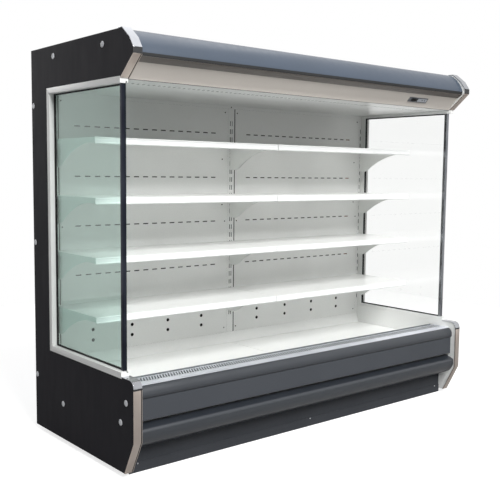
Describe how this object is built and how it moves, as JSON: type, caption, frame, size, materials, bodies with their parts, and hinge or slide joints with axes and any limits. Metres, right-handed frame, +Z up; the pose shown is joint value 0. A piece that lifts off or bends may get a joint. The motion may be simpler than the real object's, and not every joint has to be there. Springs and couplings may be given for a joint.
{
  "type": "open multideck display fridge",
  "caption": "Open-fronted refrigerated display case with tiers of shelves, a sunken deck, glazed ends and an overhanging canopy.",
  "frame": {"origin": "on the floor, under the middle of the case in length and depth", "axes": "+X along the length to the end that carries the controller, -Y out of the open front, +Z up"},
  "size_m": [2.5, 1.06, 2.1],
  "materials": {
    "charcoal_steel": "satin powder coat",
    "white_steel": "gloss white enamel",
    "beige_steel": "satin paint",
    "brown_steel": "satin paint",
    "grey_profile": "semi-gloss extrusion",
    "polished_steel": "polished",
    "aluminium_profile": "satin anodised",
    "galvanised_steel": "galvanised",
    "side_glass": "clear, faintly green",
    "seal_rubber": "matt",
    "black_plastic": "matt",
    "cap_plastic": "semi-gloss",
    "dark_screws": "blackened",
    "copper_pipe": "dull copper"
  },
  "bodies": {
    "case": {"end_panel_left": "charcoal_steel", "end_panel_right": "charcoal_steel", "end_walls": "white_steel", "window_frames": "white_steel", "side_glass": "side_glass", "glass_gaskets": "seal_rubber", "glass_posts": "polished_steel", "canopy_end_trims": "polished_steel", "bumper_end_trims": "polished_steel", "trim_joiners": "black_plastic", "screw_caps": "cap_plastic", "canopy_fascia": "charcoal_steel", "canopy_trim_strip": "brown_steel", "canopy_underside_panel": "beige_steel", "air_outlet_panel": "white_steel", "ceiling_panel": "white_steel", "back_panel_left": "white_steel", "back_panel_right": "white_steel", "back_cove_strip": "white_steel", "slotted_uprights": "white_steel", "shelf_brackets": "white_steel", "bumper_ledge": "aluminium_profile", "bumper_top_profile": "grey_profile", "bumper_face_panel": "charcoal_steel", "bumper_lower_profile": "grey_profile", "kick_plate": "charcoal_steel", "controller_body": "black_plastic", "base_frame": "galvanised_steel", "base_tub": "white_steel", "rear_wall": "galvanised_steel", "roof_panel": "galvanised_steel", "evaporator_coil": "aluminium_profile", "fan_plenum": "galvanised_steel", "fan_motors": "black_plastic", "pipework": "copper_pipe", "electrical_box": "galvanised_steel", "front_duct_panel": "galvanised_steel", "panel_screws": "dark_screws"},
    "shelf_1_left": {"shelf_1_left": "white_steel"},
    "shelf_2_left": {"shelf_2_left": "white_steel"},
    "shelf_3_left": {"shelf_3_left": "white_steel"},
    "shelf_4_left": {"shelf_4_left": "white_steel"},
    "deck_pan_left": {"deck_pan_left": "white_steel"},
    "shelf_1_right": {"shelf_1_right": "white_steel"},
    "shelf_2_right": {"shelf_2_right": "white_steel"},
    "shelf_3_right": {"shelf_3_right": "white_steel"},
    "shelf_4_right": {"shelf_4_right": "white_steel"},
    "deck_pan_right": {"deck_pan_right": "white_steel"},
    "return_grille": {"return_grille": "aluminium_profile"},
    "fan_rotor_left": {"fan_rotor_left": "black_plastic"},
    "fan_rotor_middle": {"fan_rotor_middle": "black_plastic"},
    "fan_rotor_right": {"fan_rotor_right": "black_plastic"},
    "foot_front_left": {"foot_front_left": "galvanised_steel"},
    "foot_front_middle": {"foot_front_middle": "galvanised_steel"},
    "foot_front_right": {"foot_front_right": "galvanised_steel"},
    "foot_rear_left": {"foot_rear_left": "galvanised_steel"},
    "foot_rear_middle": {"foot_rear_middle": "galvanised_steel"},
    "foot_rear_right": {"foot_rear_right": "galvanised_steel"},
    "controller_button_1": {"controller_button_1": "black_plastic"},
    "controller_button_2": {"controller_button_2": "black_plastic"}
  },
  "joints": [
    {"name": "shelf_1_left_slide", "type": "slide", "parent": "case", "child": "shelf_1_left", "axis": [0, -1, 0], "range_m": [0, 0.42]},
    {"name": "shelf_2_left_slide", "type": "slide", "parent": "case", "child": "shelf_2_left", "axis": [0, -1, 0], "range_m": [0, 0.42]},
    {"name": "shelf_3_left_slide", "type": "slide", "parent": "case", "child": "shelf_3_left", "axis": [0, -1, 0], "range_m": [0, 0.42]},
    {"name": "shelf_4_left_slide", "type": "slide", "parent": "case", "child": "shelf_4_left", "axis": [0, -1, 0], "range_m": [0, 0.42]},
    {"name": "deck_pan_left_lift", "type": "slide", "parent": "case", "child": "deck_pan_left", "axis": [0, 0, 1], "range_m": [0, 0.18]},
    {"name": "shelf_1_right_slide", "type": "slide", "parent": "case", "child": "shelf_1_right", "axis": [0, -1, 0], "range_m": [0, 0.42]},
    {"name": "shelf_2_right_slide", "type": "slide", "parent": "case", "child": "shelf_2_right", "axis": [0, -1, 0], "range_m": [0, 0.42]},
    {"name": "shelf_3_right_slide", "type": "slide", "parent": "case", "child": "shelf_3_right", "axis": [0, -1, 0], "range_m": [0, 0.42]},
    {"name": "shelf_4_right_slide", "type": "slide", "parent": "case", "child": "shelf_4_right", "axis": [0, -1, 0], "range_m": [0, 0.42]},
    {"name": "deck_pan_right_lift", "type": "slide", "parent": "case", "child": "deck_pan_right", "axis": [0, 0, 1], "range_m": [0, 0.18]},
    {"name": "return_grille_lift", "type": "slide", "parent": "case", "child": "return_grille", "axis": [0, 0, 1], "range_m": [0, 0.18]},
    {"name": "fan_rotor_left_spin", "type": "hinge", "parent": "case", "child": "fan_rotor_left", "pos_m": [-0.8, -0.06, 0.268], "axis": [0, 1, 0], "continuous": true},
    {"name": "fan_rotor_middle_spin", "type": "hinge", "parent": "case", "child": "fan_rotor_middle", "pos_m": [0, -0.06, 0.268], "axis": [0, 1, 0], "continuous": true},
    {"name": "fan_rotor_right_spin", "type": "hinge", "parent": "case", "child": "fan_rotor_right", "pos_m": [0.8, -0.06, 0.268], "axis": [0, 1, 0], "continuous": true},
    {"name": "foot_front_left_turn", "type": "hinge", "parent": "case", "child": "foot_front_left", "pos_m": [-1.134, -0.3785, 0], "axis": [0, 0, 1], "continuous": true},
    {"name": "foot_front_middle_turn", "type": "hinge", "parent": "case", "child": "foot_front_middle", "pos_m": [0, -0.3785, 0], "axis": [0, 0, 1], "continuous": true},
    {"name": "foot_front_right_turn", "type": "hinge", "parent": "case", "child": "foot_front_right", "pos_m": [1.134, -0.3785, 0], "axis": [0, 0, 1], "continuous": true},
    {"name": "foot_rear_left_turn", "type": "hinge", "parent": "case", "child": "foot_rear_left", "pos_m": [-1.134, 0.4725, 0], "axis": [0, 0, 1], "continuous": true},
    {"name": "foot_rear_middle_turn", "type": "hinge", "parent": "case", "child": "foot_rear_middle", "pos_m": [0, 0.4725, 0], "axis": [0, 0, 1], "continuous": true},
    {"name": "foot_rear_right_turn", "type": "hinge", "parent": "case", "child": "foot_rear_right", "pos_m": [1.134, 0.4725, 0], "axis": [0, 0, 1], "continuous": true},
    {"name": "controller_button_1_press", "type": "slide", "parent": "case", "child": "controller_button_1", "axis": [0, 0.7402, 0.6724], "range_m": [0, 0.0008], "stiffness_N_per_m": 400},
    {"name": "controller_button_2_press", "type": "slide", "parent": "case", "child": "controller_button_2", "axis": [0, 0.7402, 0.6724], "range_m": [0, 0.0008], "stiffness_N_per_m": 400}
  ]
}
